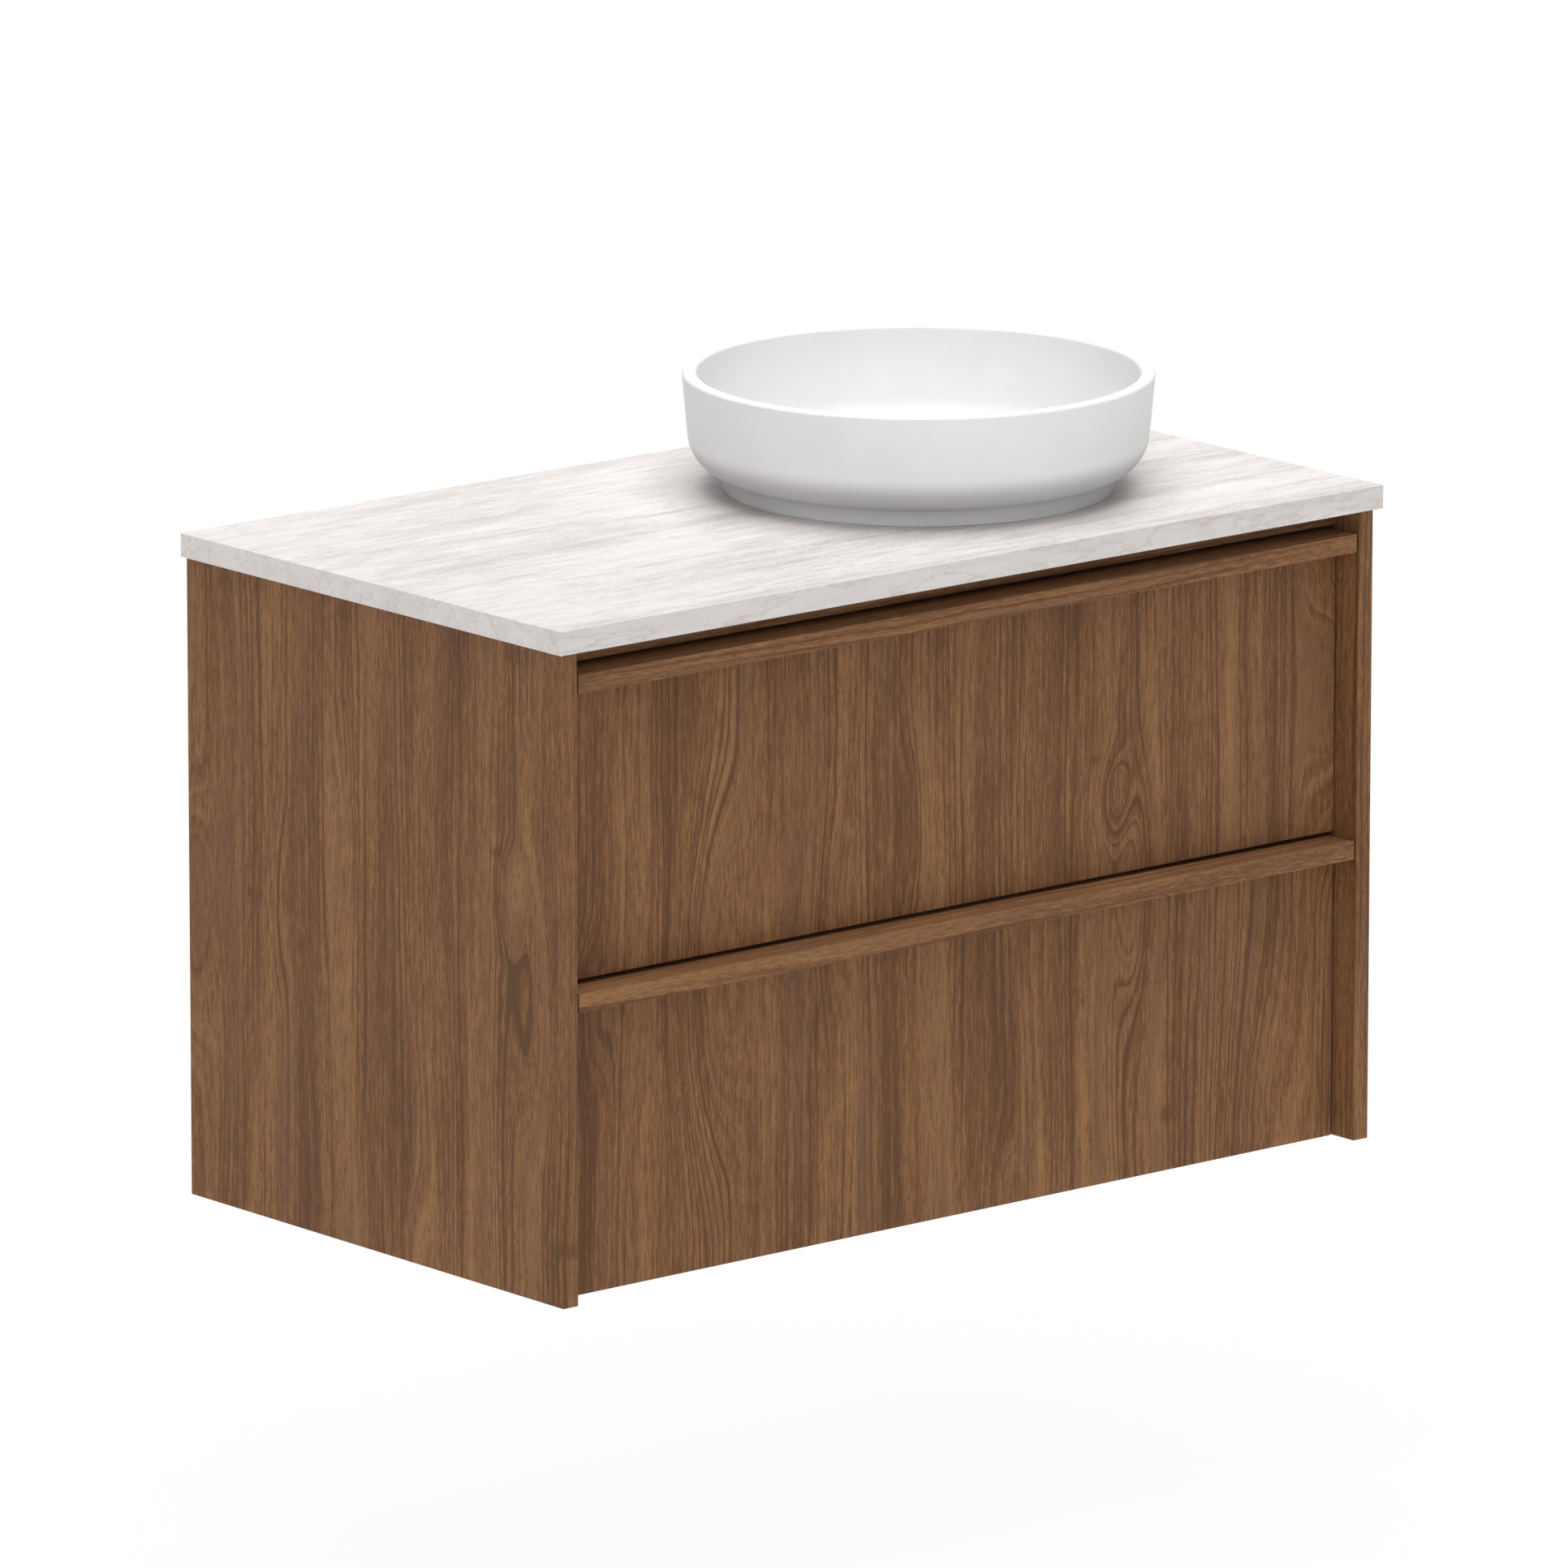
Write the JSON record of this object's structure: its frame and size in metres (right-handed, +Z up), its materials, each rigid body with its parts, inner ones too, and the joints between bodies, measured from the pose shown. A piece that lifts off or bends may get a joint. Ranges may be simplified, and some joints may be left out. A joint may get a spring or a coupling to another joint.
{
  "type": "vessel sink vanity",
  "caption": "Wall-hung vanity cabinet with inset drawers and rail handles, a stone top and a round vessel basin right of centre, with its waste and bottle trap.",
  "frame": {"origin": "middle of the hanging rail's back face, in the plane of the wall", "axes": "+Z up; +Y into the wall, so the drawers face and open along -Y; +X to the right as seen from the front"},
  "size_m": [0.9, 0.5, 0.67],
  "materials": {
    "walnut_board": "matt walnut-grain board, grain upright on the panels and fronts, along the rails",
    "drawer_board": "pale grey melamine-faced board",
    "stone_slab": "honed, off-white with long pale grey and beige streaks",
    "basin_ceramic": "matt white",
    "chromed_brass": "polished chrome plate",
    "zinc_steel": "zinc-plated rolled steel",
    "seal_rubber": "black moulded rubber",
    "bumper_rubber": "clear moulded pad"
  },
  "bodies": {
    "root": {"left_side_panel": "walnut_board", "right_side_panel": "walnut_board", "bottom_panel": "walnut_board", "top_front_rail": "walnut_board", "top_back_rail": "walnut_board", "hanging_rail": "walnut_board", "lower_back_rail": "walnut_board", "stone_top": "stone_slab", "basin": "basin_ceramic", "waste_body": "chromed_brass", "waste_back_nut": "chromed_brass", "trap_inlet_nut": "chromed_brass", "trap_inlet_pipe": "chromed_brass", "trap_neck_nut": "chromed_brass", "trap_body": "chromed_brass", "trap_cup": "chromed_brass", "trap_outlet_nut": "chromed_brass", "outlet_pipe": "chromed_brass", "wall_flange": "chromed_brass", "left_corner_bracket": "zinc_steel", "right_corner_bracket": "zinc_steel", "upper_left_cabinet_member": "zinc_steel", "upper_right_cabinet_member": "zinc_steel", "lower_left_cabinet_member": "zinc_steel", "lower_right_cabinet_member": "zinc_steel", "waste_top_seal": "seal_rubber", "waste_cone_seal": "seal_rubber", "trap_inlet_washer": "seal_rubber", "trap_cup_seal": "seal_rubber", "left_bumper": "bumper_rubber", "right_bumper": "bumper_rubber"},
    "upper_drawer": {"upper_drawer_front": "walnut_board", "upper_handle_rail": "walnut_board", "upper_drawer_left_side": "drawer_board", "upper_drawer_right_side": "drawer_board", "upper_drawer_bottom": "drawer_board", "upper_drawer_back_left": "drawer_board", "upper_drawer_back_right": "drawer_board", "upper_notch_left_wall": "drawer_board", "upper_notch_right_wall": "drawer_board", "upper_notch_front_wall": "drawer_board", "upper_left_drawer_member": "zinc_steel", "upper_right_drawer_member": "zinc_steel"},
    "lower_drawer": {"lower_drawer_front": "walnut_board", "lower_handle_rail": "walnut_board", "lower_drawer_left_side": "drawer_board", "lower_drawer_right_side": "drawer_board", "lower_drawer_bottom": "drawer_board", "lower_drawer_back": "drawer_board", "lower_left_drawer_member": "zinc_steel", "lower_right_drawer_member": "zinc_steel"},
    "upper_runner_middle": {"upper_left_middle_member": "zinc_steel", "upper_right_middle_member": "zinc_steel"},
    "lower_runner_middle": {"lower_left_middle_member": "zinc_steel", "lower_right_middle_member": "zinc_steel"},
    "waste_plug": {"waste_cap": "chromed_brass", "cap_seal": "seal_rubber", "waste_stem": "chromed_brass"}
  },
  "joints": [
    {"name": "upper_drawer_slide", "type": "slide", "parent": "root", "child": "upper_drawer", "axis": [0, -1, 0], "range_m": [0, 0.4]},
    {"name": "upper_runner_middle_slide", "type": "slide", "parent": "root", "child": "upper_runner_middle", "axis": [0, -1, 0], "range_m": [0, 0.2]},
    {"name": "lower_drawer_slide", "type": "slide", "parent": "root", "child": "lower_drawer", "axis": [0, -1, 0], "range_m": [0, 0.4]},
    {"name": "lower_runner_middle_slide", "type": "slide", "parent": "root", "child": "lower_runner_middle", "axis": [0, -1, 0], "range_m": [0, 0.2]},
    {"name": "waste_plug_slide", "type": "slide", "parent": "root", "child": "waste_plug", "axis": [0, 0, 1], "range_m": [0, 0.008]}
  ],
  "couplings": [
    {"joint": "upper_runner_middle_slide", "follows": "upper_drawer_slide", "ratio": 0.5},
    {"joint": "lower_runner_middle_slide", "follows": "lower_drawer_slide", "ratio": 0.5}
  ]
}
